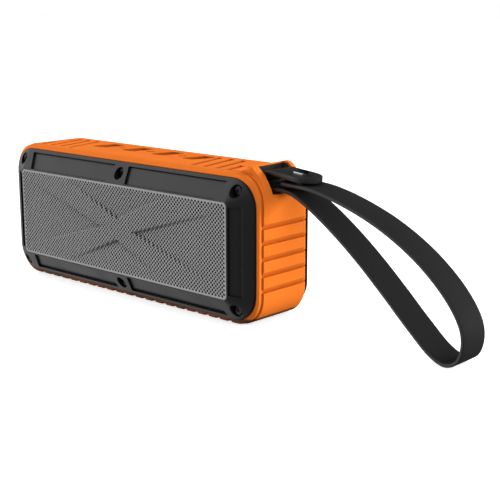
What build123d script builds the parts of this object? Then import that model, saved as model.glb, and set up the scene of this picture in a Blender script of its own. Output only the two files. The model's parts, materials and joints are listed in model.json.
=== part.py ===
"""Rugged portable speaker: silicone sleeve, two drivers, passive radiator and a wrist strap.

Millimetres. The origin is under the middle of the body, on the face it stands on.
+X points to the strap end, +Y to the back and +Z up. The grille faces -Y.
"""

import os

from build123d import *

# ---- driving dimensions -------------------------------------------------------------------
MID_Z = 33.0  # height of the body's centre line, half of its 66 mm height

FACE_Y = -23.0  # front of the grille and inner edge of the bezel
BACK_Y = 23.0  # flat rear face
GRILLE_HALF_X = 70.0
GRILLE_HALF_Z = 21.15
GRILLE_CORNER = 1.5

RIM_HALF_X = 81.2  # outer edge of the two sloping black covers
RIM_HALF_Z = 30.7
RIM_CORNER = 12.5
RIM_SIDE = 1.3  # straight side of the rim behind its slope
RIM_ROUND = 1.1

CORE_HALF_X = 80.2  # outside of the housing, inside of the sleeve
CORE_HALF_Z = 30.4
CORE_CORNER = 11.2
CORE_WALL = 2.2
CORE_INSIDE = (CORE_HALF_X - CORE_WALL, CORE_HALF_Z - CORE_WALL, CORE_CORNER - CORE_WALL)
CORE_FRONT_Y = -15.0
CORE_BACK_Y = 15.0
POCKET_WALL = 1.8  # housing wall round the strap window's pocket
GASKET = 0.9

RIM_FRONT_Y = -17.2
COVER_BACK_Y = CORE_FRONT_Y - GASKET
POCKET_SINK = 1.15
POCKET_MARGIN = 0.5  # rim left between the pockets and the grille's opening
SCREW_SEAT_Y = -17.0
SCREW_HEAD = 1.2  # height of a cover screw's head
SCREW_LENGTH = 7.7
COVER_INNER_Y = 21.2  # inside of the rear cover's flat wall

GRILLE_T = 0.6
FLANGE_Y = -20.4  # front of the grille's hidden flange
FLANGE_HALF_X = 71.5
FLANGE_HALF_Z = 22.65
SECTOR_DEPTH = 1.3  # the grille is pressed in between the arms of a wide diagonal cross
SECTORS = (  # tip of each pressed-in triangle, then its two far corners, as (x, z)
    ((0.0, 4.4), (-37.0, 20.0), (37.0, 20.0)),
    ((0.0, -4.4), (-37.0, -20.0), (37.0, -20.0)),
    ((9.7, 0.0), (68.8, 18.2), (68.8, -18.2)),
    ((-9.7, 0.0), (-68.8, 18.2), (-68.8, -18.2)),
)

SLEEVE_HALF_X = 81.5
SLEEVE_HALF_Z = 33.0
SLEEVE_CORNER = 13.0
SLEEVE_FRONT_Y = -16.7
LIP_FRONT = (81.6, 31.1, 12.8)  # half length, half height and corner of the lip's front edge
LIP_CREST = (82.3, 32.6, 13.3)
LIP_CREST_Y = -15.9
PAD_HALF_X = 82.4  # end ribs
END_RIB_DEPTH = 1.4
END_RIB_WIDTH = 2.1
END_PAD_Y = (-13.3, 13.5)
END_RIB_LINES = (9.8, 2.95, -3.9, -10.75, -17.6)
GROOVE_FRONT_Y = -13.2
GROOVE_HALF = 1.75
GROOVE_DEPTH = 1.5
TOP_GROOVES = (  # x at the front end, x at the back end, y of the back end
    (40.3, 34.8, 11.0),
    (47.6, 42.1, 11.0),
    (54.9, 49.4, 11.0),
    (61.8, 58.8, -0.5),
    (-44.7, -51.0, 11.0),
    (-51.5, -57.8, 11.0),
    (-58.3, -64.6, 11.0),
    (-65.1, -70.8, 9.0),
)
VALLEY_X = (-32.9, -12.1, 8.7, 29.5)
VALLEY_Y = (-2.5, 10.0)
VALLEY_WIDTH = 8.5
VALLEY_LEAN = 4.1
VALLEY_DEPTH = 2.0
HUMP_Y = (-12.2, 14.4)
RIB_PITCH = 6.85
RIB_GAP = (1.7, 1.0)  # half width of the gap between floor ribs, at the ground and at its top
RIB_DEPTH = 1.4

SCREW_Z = 25.7  # above and below the centre line
FRONT_SCREW_X = (-72.3, 0.0, 72.3)
REAR_SCREW_X = (-64.5, 0.0, 64.5)
SCREW_R = 1.2
SCREW_HEAD_R = 2.2
SCREW_GAP = 0.15
COUNTERBORE_R = 2.75
BOSS_R = 3.2
FRONT_BOSS_LENGTH = 6.2
REAR_BOSS_LENGTH = 7.0
INSERT_R = 2.0
INSERT_LENGTH = 5.0

KEY_X = (-24.4, -3.6, 17.2)
KEY_Y = 3.7
KEY_GAP = 0.3
KEY_CAP_HEIGHT = 1.8
KEY_MARK_HEIGHT = 0.25
KEY_LEAN = 3.9  # how far a key's back edge stands to the right of its front edge
KEY_HALF_DEPTH = 5.6
KEY_HALF_WIDTH = 5.3
KEY_STEM_R = 1.9
KEY_BOARD_TOP = 55.2
SWITCH_TOP = 58.4

DRIVER_X = 43.0
DRIVER_HALF_FLANGE = 20.0
DRIVER_HOLE_R = 17.6
DRIVER_SCREWS = ((-16.8, -16.8), (-16.8, 16.8), (16.8, -16.8), (16.8, 16.8))

BAR_X = 76.4  # strap bar, along Y
BAR_Z = 61.4
BAR_R = 1.3
WINDOW_Z = 56.6  # the strap window is cut out of the sleeve's upper corner
WINDOW_Y = (-7.0, 12.0)
POCKET_X = 70.6
POCKET_Z = 55.4
LINER_T = 1.3  # the housing's black liner round the window, under a thin skin of sleeve
LINER_CHEEK = (  # outline of one cheek, as (x, z)
    (69.6, 66.9),
    (71.3, 67.4),
    (73.2, 67.1),
    (76.8, 63.9),
    (79.1, 60.6),
    (80.6, 57.6),
    (80.6, 55.0),
)

STRAP_T = 1.5
STRAP_Y = (-5.5, 10.0)
WRAP_X = 77.8  # centre of the band's turn round the bar
WRAP_Z = 61.9
WRAP_R = 3.75
MIN_STEP = 0.5  # closest that two points of the band's outline may lie
STUD_X = 89.3
STUD_Z = 65.3  # upper face of the tab at the stud
STUD_TILT = 5.0
STUD_LENGTH = 4.9
STUD_HEAD = (7.6, 4.4)
STUD_HEAD_T = 0.8
STUD_SHANK = (5.6, 3.2)
STUD_TAIL = (7.0, 4.0)
STUD_TAIL_T = 0.6
STUD_INLAY = (5.0, 3.0)
INLAY_SHIFT = 1.1
INLAY_SEAT = 0.3
INLAY_TOP = 1.7
TAB_EXTRA = 0.9  # the tab is folded, so it is thicker than the band
TAB_TIP_X = 98.7
TAB_UNDER_Z = 62.0

PORT_X = (29.6, 64.0)
PORT_Z = (14.0, 26.0)
PORT_FLOOR_Y = 20.8
FLAP_T = 1.8
FLAP_PIVOT_X = 31.5
AUX_X = 40.0
AUX_BORE_R = 1.8
AUX_BORE_LENGTH = 15.0
USB_X = 55.0
USB_HALF = (3.9, 1.5)
PORT_MID_Z = 20.0
POWER_X = 56.0
POWER_Z = 43.0
LIGHT_X = 38.0
MAIN_BOARD_Y = (12.4, 14.0)
BOARD_SCREWS = ((30.5, 14.8), (62.5, 14.8), (30.5, 50.8), (62.5, 50.8))
POWER_SWITCH_Y = 17.4

RADIATOR_X = -24.0
RADIATOR_SLOTS = ((-57.0, -37.0), (-34.0, -14.0), (-11.0, 9.0))

parts = {}


# ---- helpers ------------------------------------------------------------------------------
def block(x_range, y_range, z_range):
    """A box between its lowest and highest coordinates."""
    spans = (x_range, y_range, z_range)
    size = [high - low for low, high in spans]
    centre = [(high + low) / 2 for low, high in spans]
    return Pos(*centre) * Box(*size)


def rod_y(x, z, radius, y_front, y_back):
    """A cylinder along Y."""
    return Pos(x, (y_front + y_back) / 2, z) * Rot(90, 0, 0) * Cylinder(radius, y_back - y_front)


def rod_z(x, y, radius, z_low, z_high):
    """A cylinder along Z."""
    return Pos(x, y, (z_low + z_high) / 2) * Cylinder(radius, z_high - z_low)


def xz_plane(y, x=0.0, z=MID_Z):
    """The plane at y whose local x is +X and local y is +Z. It faces the front."""
    return Plane(origin=(x, y, z), x_dir=(1, 0, 0), z_dir=(0, -1, 0))


def outline(half_x, half_z, corner, y):
    """A rounded rectangle about the body's centre line, at y."""
    return xz_plane(y) * RectangleRounded(2 * half_x, 2 * half_z, corner)


def slab(half_x, half_z, corner, y_front, y_back):
    """A rounded rectangular block from y_front to y_back."""
    return extrude(outline(half_x, half_z, corner, y_back), amount=y_back - y_front)


def prism_y(points, y_front, y_back):
    """A polygon of (x, z) points, drawn from y_back forwards to y_front."""
    plane = xz_plane(y_back, z=0.0)
    return extrude(plane * make_face(Polyline(*points, close=True)), amount=y_back - y_front)


def turned(profile, x):
    """A ring turned about a driver's axis from (radius, y) points."""
    face = make_face(Polyline(*[(radius, y, 0) for radius, y in profile], close=True))
    return Pos(x, 0, MID_Z) * revolve(face, axis=Axis.Y)


def fuse(shapes):
    """One shape from many."""
    shapes = list(shapes)
    return shapes[0] + shapes[1:] if len(shapes) > 1 else shapes[0]


def group(shapes):
    """Separate solids that share a node, such as identical fasteners."""
    return Compound(children=[solid for shape in shapes for solid in shape.solids()])


def add(name, shape):
    """Files a finished node under its name."""
    parts[name] = shape


# ---- sloping covers -----------------------------------------------------------------------
def cover_pockets(corner_x):
    """The long pockets sunk into a cover's four slopes, between its screw bosses."""
    grille_edge = GRILLE_HALF_Z + POCKET_MARGIN
    rim_edge = RIM_HALF_Z - 1.5
    shapes = []
    for side in (-1, 1):
        for level in (-1, 1):
            corners = [(6.2, grille_edge), (4.6, rim_edge)]
            corners += [(corner_x, rim_edge), (corner_x - 3.0, grille_edge)]
            points = [(side * x, MID_Z + level * z) for x, z in corners]
            shapes.append(prism_y(points, FACE_Y - 1.0, COVER_BACK_Y))
        inner_x = GRILLE_HALF_X + POCKET_MARGIN
        ends = ((inner_x, -18.7), (76.0, -19.6), (76.0, 19.6), (inner_x, 18.7))
        shapes.append(prism_y([(side * x, MID_Z + z) for x, z in ends], FACE_Y - 1.0, COVER_BACK_Y))
    return fuse(shapes)


def cover_blank(corner_x):
    """A sloping cover facing the front, still solid: slopes, rounded rim and sunk pockets."""
    face = outline(GRILLE_HALF_X, GRILLE_HALF_Z, GRILLE_CORNER, FACE_Y)
    rim = outline(RIM_HALF_X, RIM_HALF_Z, RIM_CORNER, RIM_FRONT_Y)
    blank = loft([face, rim]) + slab(RIM_HALF_X, RIM_HALF_Z, RIM_CORNER, RIM_FRONT_Y, COVER_BACK_Y)
    rim_edges = [edge for edge in blank.edges() if is_rim_edge(edge)]
    blank = fillet(rim_edges, RIM_ROUND)
    pockets = cover_pockets(corner_x)
    return (blank - pockets) + (Pos(0, POCKET_SINK, 0) * blank & pockets)


def is_rim_edge(edge):
    """True for the edges where a cover's slopes meet its rim."""
    box = edge.bounding_box()
    return abs(box.min.Y - RIM_FRONT_Y) < 1e-3 and abs(box.max.Y - RIM_FRONT_Y) < 1e-3


def screw_sites(columns):
    """The (x, z) of a cover's six screws."""
    return [(x, MID_Z + level * SCREW_Z) for x in columns for level in (-1, 1)]


def screw(x, z, seat_y, length):
    """A pan-head screw driven from the front, with a cross recess."""
    head = rod_y(x, z, SCREW_HEAD_R, seat_y - SCREW_HEAD, seat_y)
    head = fillet(head.edges().group_by(Axis.Y)[0], 0.5)
    for span in ((2.2, 0.5), (0.5, 2.2)):
        half_x, half_z = span[0] / 2, span[1] / 2
        head -= block((x - half_x, x + half_x), (seat_y - 2.0, seat_y - 0.6), (z - half_z, z + half_z))
    return head + rod_y(x, z, SCREW_R, seat_y, seat_y + length)


def make_front_bezel():
    bezel = cover_blank(66.0)
    bezel -= slab(GRILLE_HALF_X, GRILLE_HALF_Z, GRILLE_CORNER, FACE_Y - 1.0, COVER_BACK_Y)
    bezel -= slab(FLANGE_HALF_X + 0.1, FLANGE_HALF_Z + 0.1, 2.0, FLANGE_Y, COVER_BACK_Y)
    for x, z in screw_sites(FRONT_SCREW_X):
        bezel -= rod_y(x, z, COUNTERBORE_R, FACE_Y - 1.0, SCREW_SEAT_Y)
        bezel -= rod_y(x, z, SCREW_R + SCREW_GAP, SCREW_SEAT_Y, COVER_BACK_Y)
    add("front_bezel", bezel)
    screws = [screw(x, z, SCREW_SEAT_Y, SCREW_LENGTH) for x, z in screw_sites(FRONT_SCREW_X)]
    add("bezel_screws", group(screws))


def make_gasket(name, columns, mirrored):
    """The flat silicone seal between the housing's mouth and a cover."""
    seal = slab(79.8, 30.0, 10.8, COVER_BACK_Y, CORE_FRONT_Y)
    seal -= slab(73.6, 24.3, 5.0, COVER_BACK_Y, CORE_FRONT_Y)
    for x, z in screw_sites(columns):
        seal += rod_y(x, z, BOSS_R, COVER_BACK_Y, CORE_FRONT_Y)
        seal -= rod_y(x, z, SCREW_R + SCREW_GAP, COVER_BACK_Y, CORE_FRONT_Y)
    add(name, mirror(seal, about=Plane.XZ) if mirrored else seal)


# ---- grille -------------------------------------------------------------------------------
def pressed_sector(tip, far_a, far_b):
    """The wedge between the flat face and one pressed-in triangle, deepest at its tip."""
    tip_point, point_a, point_b = [Vector(x, FACE_Y, MID_Z + z) for x, z in (tip, far_a, far_b)]
    low = tip_point + Vector(0, SECTOR_DEPTH, 0)
    faces = [
        [tip_point, point_a, point_b],
        [tip_point, point_a, low],
        [tip_point, point_b, low],
        [point_a, point_b, low],
    ]
    return closed_solid(faces)


def make_grille():
    wall = GRILLE_T
    inset = 0.15
    half_x = GRILLE_HALF_X - inset
    half_z = GRILLE_HALF_Z - inset
    pan = slab(half_x, half_z, GRILLE_CORNER, FACE_Y, FLANGE_Y)
    pan = fillet(pan.edges().group_by(Axis.Y)[0], 0.5)
    pan += slab(FLANGE_HALF_X, FLANGE_HALF_Z, 2.0, FLANGE_Y, FLANGE_Y + wall)
    pan -= slab(half_x - wall, half_z - wall, 1.0, FACE_Y + wall, FLANGE_Y + wall)
    for sector in SECTORS:
        wedge = pressed_sector(*sector)
        pan += Pos(0, wall, 0) * wedge
        pan -= wedge
    add("front_grille", pan)
    cloth_y = FLANGE_Y + wall
    add("grille_cloth", slab(FLANGE_HALF_X, FLANGE_HALF_Z, 2.0, cloth_y, cloth_y + 0.4))


# ---- housing ------------------------------------------------------------------------------
def window_liner():
    """The black liner of the strap window: two cheeks that hold the bar, and the wall between."""
    front, back = WINDOW_Y
    low_z = LINER_CHEEK[-1][1]
    cheek = [*LINER_CHEEK, (LINER_CHEEK[0][0], low_z)]
    liner = prism_y(cheek, front - LINER_T, front) + prism_y(cheek, back, back + LINER_T)
    wall_x = LINER_CHEEK[0][0]
    wall = [(wall_x, low_z), (POCKET_X, low_z), (POCKET_X, LINER_CHEEK[0][1] + 0.2), LINER_CHEEK[0]]
    return liner + prism_y(wall, front, back)


def make_housing():
    core = slab(CORE_HALF_X, CORE_HALF_Z, CORE_CORNER, CORE_FRONT_Y, CORE_BACK_Y)
    hollow = slab(*CORE_INSIDE, CORE_FRONT_Y, CORE_BACK_Y)
    front, back = WINDOW_Y
    solid_bits = [
        block(
            (POCKET_X - POCKET_WALL, CORE_HALF_X),
            (front - POCKET_WALL, back + POCKET_WALL),
            (POCKET_Z - POCKET_WALL, MID_Z + CORE_HALF_Z),
        )
    ]
    for x, z in screw_sites(FRONT_SCREW_X):
        solid_bits.append(rod_y(x, z, BOSS_R, CORE_FRONT_Y, CORE_FRONT_Y + FRONT_BOSS_LENGTH))
    for x, z in screw_sites(REAR_SCREW_X):
        solid_bits.append(rod_y(x, z, BOSS_R, CORE_BACK_Y - REAR_BOSS_LENGTH, CORE_BACK_Y))
    for x in (-35.0, 24.5):
        solid_bits.append(block((x, x + 3.0), (-2.0, 8.0), (KEY_BOARD_TOP, MID_Z + CORE_HALF_Z - 1.0)))
    housing = (core - hollow) + (core & fuse(solid_bits))
    housing += window_liner()
    housing -= block((POCKET_X, 90.0), WINDOW_Y, (POCKET_Z, 80.0))
    bar = rod_y(BAR_X, BAR_Z, BAR_R, front - LINER_T, back + LINER_T)
    housing -= bar
    for x in KEY_X:
        housing -= rod_z(x, KEY_Y, KEY_STEM_R + 0.5, MID_Z + 20.0, MID_Z + CORE_HALF_Z)
    for x, z in screw_sites(FRONT_SCREW_X):
        housing -= rod_y(x, z, INSERT_R, CORE_FRONT_Y, CORE_FRONT_Y + INSERT_LENGTH)
        housing -= rod_y(x, z, SCREW_R + 0.1, CORE_FRONT_Y, CORE_FRONT_Y + 6.0)
    for x, z in screw_sites(REAR_SCREW_X):
        housing -= rod_y(x, z, INSERT_R, CORE_BACK_Y - INSERT_LENGTH, CORE_BACK_Y)
        housing -= rod_y(x, z, SCREW_R + 0.1, CORE_BACK_Y - 6.5, CORE_BACK_Y)
    add("main_housing", housing)
    add("strap_bar", bar)
    inserts = []
    spots = [(x, z, CORE_FRONT_Y) for x, z in screw_sites(FRONT_SCREW_X)]
    spots += [(x, z, CORE_BACK_Y - INSERT_LENGTH) for x, z in screw_sites(REAR_SCREW_X)]
    for x, z, y in spots:
        insert = rod_y(x, z, INSERT_R, y, y + INSERT_LENGTH)
        inserts.append(insert - rod_y(x, z, SCREW_R + 0.05, y, y + INSERT_LENGTH))
    add("threaded_inserts", group(inserts))


# ---- sleeve -------------------------------------------------------------------------------
def end_rib_cutters():
    """The sloping bands between the ribs on both ends."""
    shapes = []
    for side in (-1, 1):
        for line in END_RIB_LINES:
            points = [
                (side * (PAD_HALF_X + 0.2), MID_Z + line + END_RIB_WIDTH + 0.1),
                (side * (PAD_HALF_X + 0.2), MID_Z + line - 0.1),
                (side * (PAD_HALF_X - END_RIB_DEPTH), MID_Z + line),
                (side * PAD_HALF_X, MID_Z + line + END_RIB_WIDTH),
            ]
            shapes.append(prism_y(points, END_PAD_Y[0] - 0.1, CORE_BACK_Y + 0.1))
    return shapes


def floor_rib_cutters():
    """The gaps between the cross ribs that the body stands on."""
    shapes = []
    for step in range(-10, 10):
        x = (step + 0.5) * RIB_PITCH
        foot, head = RIB_GAP
        points = [(x - foot, -0.2), (x + foot, -0.2), (x + head, RIB_DEPTH), (x - head, RIB_DEPTH)]
        shapes.append(prism_y(points, SLEEVE_FRONT_Y - 0.2, 13.5))
    return shapes


def top_groove(front_x, back_x, y_front, y_back):
    """One slanting V groove on the top. Its ends run out to nothing."""
    top = MID_Z + SLEEVE_HALF_Z
    half = GROOVE_HALF
    low = [(front_x, y_front + 0.8), (back_x, y_back - 0.8)]
    rim = [(front_x - half, y_front), (front_x + half, y_front)]
    rim += [(back_x + half, y_back), (back_x - half, y_back)]
    rim_points = [Vector(x, y, top + 0.1) for x, y in rim]
    low_points = [Vector(x, y, top - GROOVE_DEPTH) for x, y in low]
    faces = [
        rim_points,
        [rim_points[0], rim_points[1], low_points[0]],
        [rim_points[1], rim_points[2], low_points[1]],
        [rim_points[1], low_points[1], low_points[0]],
        [rim_points[2], rim_points[3], low_points[1]],
        [rim_points[3], rim_points[0], low_points[0]],
        [rim_points[3], low_points[0], low_points[1]],
    ]
    return closed_solid(faces)


def closed_solid(faces):
    """A solid from flat faces, each a list of corners."""
    shell = Shell([Face(Wire.make_polygon(points, close=True)) for points in faces])
    return Solid(shell)


def finger_valley(x):
    """The twisted V valley between two keys: deepest along the line from its front right corner
    to its back left corner, and level with the top at the other two corners."""
    top = MID_Z + SLEEVE_HALF_Z + 0.3
    y_front, y_back = VALLEY_Y
    front_left = Vector(x - VALLEY_WIDTH, y_front, top)
    front_right = Vector(x, y_front, top)
    back_left = Vector(x - VALLEY_LEAN, y_back, top)
    back_right = Vector(x - VALLEY_LEAN + VALLEY_WIDTH, y_back, top)
    sink = Vector(0, 0, VALLEY_DEPTH + 0.3)
    front_low = front_right - sink
    back_low = back_left - sink
    faces = [
        [front_left, front_right, back_right, back_left],
        [front_left, front_right, front_low],
        [front_right, back_right, front_low],
        [back_right, back_low, front_low],
        [back_left, back_right, back_low],
        [front_left, back_left, back_low],
        [front_left, back_low, front_low],
    ]
    return closed_solid(faces)


def key_plan(x, grow):
    """A key's outline from above: a parallelogram that leans to the right at the back."""
    half_lean = KEY_LEAN / 2 * (KEY_HALF_DEPTH + grow) / KEY_HALF_DEPTH
    half_width = KEY_HALF_WIDTH + grow * 1.07
    depth = KEY_HALF_DEPTH + grow
    return [
        (x - half_width - half_lean, KEY_Y - depth),
        (x + half_width - half_lean, KEY_Y - depth),
        (x + half_width + half_lean, KEY_Y + depth),
        (x - half_width + half_lean, KEY_Y + depth),
    ]


def key_block(x, grow, z_low, z_high):
    """A key-shaped block with rounded upright corners."""
    plan = make_face(Polyline(*key_plan(x, grow), close=True))
    plan = fillet(plan.vertices(), 1.0)
    return Pos(0, 0, z_low) * extrude(plan, amount=z_high - z_low)


def make_sleeve():
    top = MID_Z + SLEEVE_HALF_Z
    lip_foot = outline(SLEEVE_HALF_X, SLEEVE_HALF_Z, SLEEVE_CORNER, END_PAD_Y[0])
    sleeve = loft([outline(*LIP_FRONT, SLEEVE_FRONT_Y), outline(*LIP_CREST, LIP_CREST_Y)])
    sleeve += loft([outline(*LIP_CREST, LIP_CREST_Y), lip_foot])
    sleeve += slab(SLEEVE_HALF_X, SLEEVE_HALF_Z, SLEEVE_CORNER, END_PAD_Y[0], CORE_BACK_Y)
    sleeve += slab(PAD_HALF_X, SLEEVE_HALF_Z, SLEEVE_CORNER, *END_PAD_Y)
    hump = [(62.5, top - 0.4), (71.2, top + 2.1), (73.6, top + 1.9), (77.4, top - 1.4), (79.9, top - 5.1)]
    hump += [(81.6, top - 8.5), (70.0, top - 12.0)]
    hump_solid = prism_y(hump, HUMP_Y[0], HUMP_Y[1])
    sleeve += chamfer(hump_solid.faces().sort_by(Axis.Y)[0].edges().sort_by(Axis.Z)[-4:], 1.2)
    sleeve -= slab(CORE_HALF_X, CORE_HALF_Z, CORE_CORNER, COVER_BACK_Y, CORE_BACK_Y)
    sleeve -= slab(RIM_HALF_X + 0.05, RIM_HALF_Z + 0.05, RIM_CORNER, SLEEVE_FRONT_Y, COVER_BACK_Y)
    sleeve -= block((POCKET_X, 90.0), WINDOW_Y, (WINDOW_Z, 80.0))
    sleeve -= window_liner()
    cutters = end_rib_cutters() + floor_rib_cutters()
    for front_x, back_x, y_back in TOP_GROOVES:
        cutters.append(top_groove(front_x, back_x, GROOVE_FRONT_Y, y_back))
    cutters += [finger_valley(x) for x in VALLEY_X]
    cutters += [key_block(x, KEY_GAP, top - 5.0, top + 1.0) for x in KEY_X]
    for cutter in cutters:
        sleeve -= cutter
    add("outer_sleeve", sleeve)


# ---- keys ---------------------------------------------------------------------------------
def key_mark(name, x):
    """The raised symbol on a key, drawn with plain bars."""
    z = MID_Z + SLEEVE_HALF_Z
    if name == "play":
        arrow = [(x - 1.5, KEY_Y - 1.9), (x + 2.0, KEY_Y), (x - 1.5, KEY_Y + 1.9)]
        return Pos(0, 0, z) * extrude(make_face(Polyline(*arrow, close=True)), amount=KEY_MARK_HEIGHT)
    level = (z, z + KEY_MARK_HEIGHT)
    bar = block((x - 2.0, x + 2.0), (KEY_Y - 0.4, KEY_Y + 0.4), level)
    if name == "plus":
        bar += block((x - 0.4, x + 0.4), (KEY_Y - 2.0, KEY_Y + 2.0), level)
    return bar


def make_keys():
    top = MID_Z + SLEEVE_HALF_Z
    cap_foot = top - KEY_CAP_HEIGHT
    stem_foot = SWITCH_TOP + 0.6
    switches = []
    for name, x in zip(("minus", "play", "plus"), KEY_X):
        cap = key_block(x, 0.0, cap_foot, top)
        cap = chamfer(cap.edges().group_by(Axis.Z)[-1], 0.25)
        cap += key_mark(name, x)
        cap += rod_z(x, KEY_Y, KEY_STEM_R, stem_foot, cap_foot)
        add(name + "_key", cap)
        add(name + "_plunger", rod_z(x, KEY_Y, 1.6, SWITCH_TOP - 0.8, stem_foot))
        body = block((x - 3.0, x + 3.0), (KEY_Y - 3.0, KEY_Y + 3.0), (KEY_BOARD_TOP, SWITCH_TOP))
        switches.append(body - rod_z(x, KEY_Y, 1.75, SWITCH_TOP - 1.8, SWITCH_TOP))
    power_depth = (MAIN_BOARD_Y[1], POWER_SWITCH_Y)
    power = block((POWER_X - 3.0, POWER_X + 3.0), power_depth, (POWER_Z - 3.0, POWER_Z + 3.0))
    switches.append(power - rod_y(POWER_X, POWER_Z, 1.75, POWER_SWITCH_Y - 1.8, POWER_SWITCH_Y))
    add("key_switches", group(switches))
    plunger_y = POWER_SWITCH_Y + 0.6
    add("power_plunger", rod_y(POWER_X, POWER_Z, 1.6, POWER_SWITCH_Y - 0.8, plunger_y))
    flange_y = COVER_INNER_Y - 0.1
    cap = rod_y(POWER_X, POWER_Z, 4.5, flange_y - 1.0, BACK_Y + 0.6)
    cap = fillet(cap.edges().group_by(Axis.Y)[-1], 0.5)
    ring = rod_y(POWER_X, POWER_Z, 2.3, BACK_Y + 0.35, BACK_Y + 1.0)
    ring -= rod_y(POWER_X, POWER_Z, 1.8, BACK_Y + 0.35, BACK_Y + 1.0)
    cap -= ring
    cap += rod_y(POWER_X, POWER_Z, 5.6, flange_y - 1.0, flange_y)
    cap += rod_y(POWER_X, POWER_Z, 1.6, plunger_y, flange_y - 1.0)
    add("power_key", cap)


# ---- drivers ------------------------------------------------------------------------------
def make_driver(side, x):
    """One full-range driver: square flange, basket, motor, and the cone that moves."""
    seat = CORE_FRONT_Y
    half = DRIVER_HALF_FLANGE
    flange = block((x - half, x + half), (seat - 1.4, seat), (MID_Z - half, MID_Z + half))
    flange = fillet(flange.edges().filter_by(Axis.Y), 3.0) - rod_y(x, MID_Z, 16.8, seat - 1.4, seat)
    for dx, dz in DRIVER_SCREWS:
        flange -= rod_y(x + dx, MID_Z + dz, 1.25, seat - 1.4, seat)
    wall = [(16.8, seat), (17.4, seat), (17.4, seat + 2.0), (12.0, -5.0), (12.0, -3.5), (6.0, -3.5)]
    wall += [(6.0, -5.0), (11.2, -5.0), (16.8, seat + 1.8)]
    basket = flange + turned(wall, x)
    for turn in (0, 90, 180, 270):
        window = Rot(0, turn, 0) * block((12.6, 19.0), (-11.8, -6.4), (-4.0, 4.0))
        basket -= Pos(x, 0, MID_Z) * window
    add(side + "_basket", basket)
    add(side + "_top_plate", turned([(5.6, -3.5), (12.0, -3.5), (12.0, -2.0), (5.6, -2.0)], x))
    add(side + "_magnet", turned([(7.0, -2.0), (13.0, -2.0), (13.0, 3.0), (7.0, 3.0)], x))
    yoke = [(0, -3.5), (4.6, -3.5), (4.6, 3.0), (12.0, 3.0), (12.0, 4.6), (0, 4.6)]
    add(side + "_yoke", turned(yoke, x))
    spider = [(5.65, -8.9), (8.0, -8.2), (10.4, -8.9), (12.6, -8.2)]
    spider += [(12.6, -7.8), (10.4, -8.5), (8.0, -7.8), (5.65, -8.5)]
    add(side + "_spider", turned(spider, x))
    roll = turned([(15.6, -16.8), (18.7, -16.8), (18.7, -16.4), (15.6, -16.4)], x)
    tube = Pos(x, 0, MID_Z) * Rot(90, 0, 0) * Torus(17.1, 1.3)
    tube = Pos(0, -16.4, 0) * tube
    roll += tube & block((x - 20, x + 20), (-19.0, -16.4), (MID_Z - 20, MID_Z + 20))
    hollow = Pos(x, -16.4, MID_Z) * Rot(90, 0, 0) * Torus(17.1, 0.9)
    add(side + "_surround", roll - hollow)
    add(side + "_cone", turned([(5.3, -10.9), (15.3, -16.6), (15.3, -16.0), (5.3, -10.3)], x))
    cap = [(0, -13.6), (2.6, -13.2), (4.6, -12.0), (5.7, -11.13)]
    cap += [(5.3, -10.9), (4.3, -11.6), (2.4, -12.7), (0, -13.1)]
    add(side + "_dust_cap", turned(cap, x))
    add(side + "_voice_coil", turned([(4.9, -10.9), (5.3, -10.9), (5.3, -2.2), (4.9, -2.2)], x))


def make_baffle():
    """The plate in the housing's mouth that carries both drivers."""
    back = CORE_FRONT_Y + 2.5
    plate = slab(*CORE_INSIDE, CORE_FRONT_Y, back)
    screws = []
    for x, z in screw_sites(FRONT_SCREW_X):
        plate -= rod_y(x, z, BOSS_R + 0.2, CORE_FRONT_Y, back)
    for x in (-DRIVER_X, DRIVER_X):
        plate -= rod_y(x, MID_Z, DRIVER_HOLE_R, CORE_FRONT_Y, back)
        for dx, dz in DRIVER_SCREWS:
            plate -= rod_y(x + dx, MID_Z + dz, 1.0, CORE_FRONT_Y, back)
            head = rod_y(x + dx, MID_Z + dz, 1.9, CORE_FRONT_Y - 2.3, CORE_FRONT_Y - 1.4)
            screws.append(head + rod_y(x + dx, MID_Z + dz, 1.0, CORE_FRONT_Y - 1.4, back - 0.1))
    plate -= block((69.0, 80.0), (CORE_FRONT_Y, back), (53.4, 64.0))
    add("front_baffle", plate)
    add("driver_screws", group(screws))


# ---- rear ---------------------------------------------------------------------------------
def slot_slab(half_x, half_z, y_front, y_back):
    """A block with round ends about the passive radiator's axis."""
    plane = xz_plane(y_back, x=RADIATOR_X)
    return extrude(plane * SlotOverall(2 * half_x, 2 * half_z), amount=y_back - y_front)


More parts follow.
